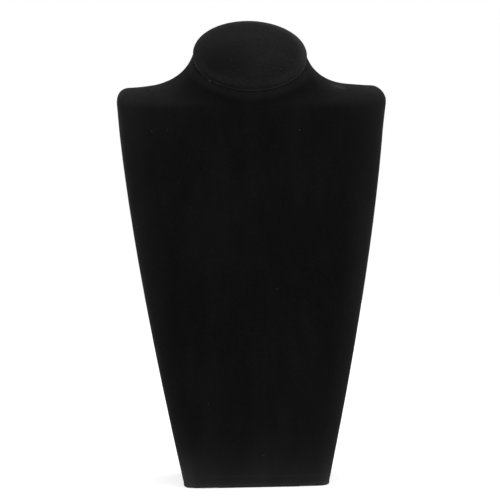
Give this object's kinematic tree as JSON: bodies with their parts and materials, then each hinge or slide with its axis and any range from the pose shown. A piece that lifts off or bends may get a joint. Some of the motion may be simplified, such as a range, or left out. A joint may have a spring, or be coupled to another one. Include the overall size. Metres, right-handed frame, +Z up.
{
  "type": "necklace stand",
  "caption": "Upright velvet-covered display bust with a tapered chest, flat rounded shoulders and a short flared neck cut on a slope, for showing necklaces.",
  "frame": {"origin": "on the table, at the middle of the base, midway between the front of the chest and the back", "axes": "+Z up, the front faces -Y, +X to the viewer's right"},
  "size_m": [0.2158, 0.093, 0.3779],
  "materials": {
    "velvet": "short black velvet pile",
    "felt": "thin black felt",
    "moulded_form": "rough moulded pulp",
    "board": "matt fibreboard"
  },
  "bodies": {
    "root": {"bust_form": "moulded_form", "front_cover": "velvet", "neck_cap_board": "board", "neck_cap_cover": "velvet", "back_board": "board", "back_cover": "velvet", "base_board": "board", "base_pad": "felt"}
  },
  "joints": []
}
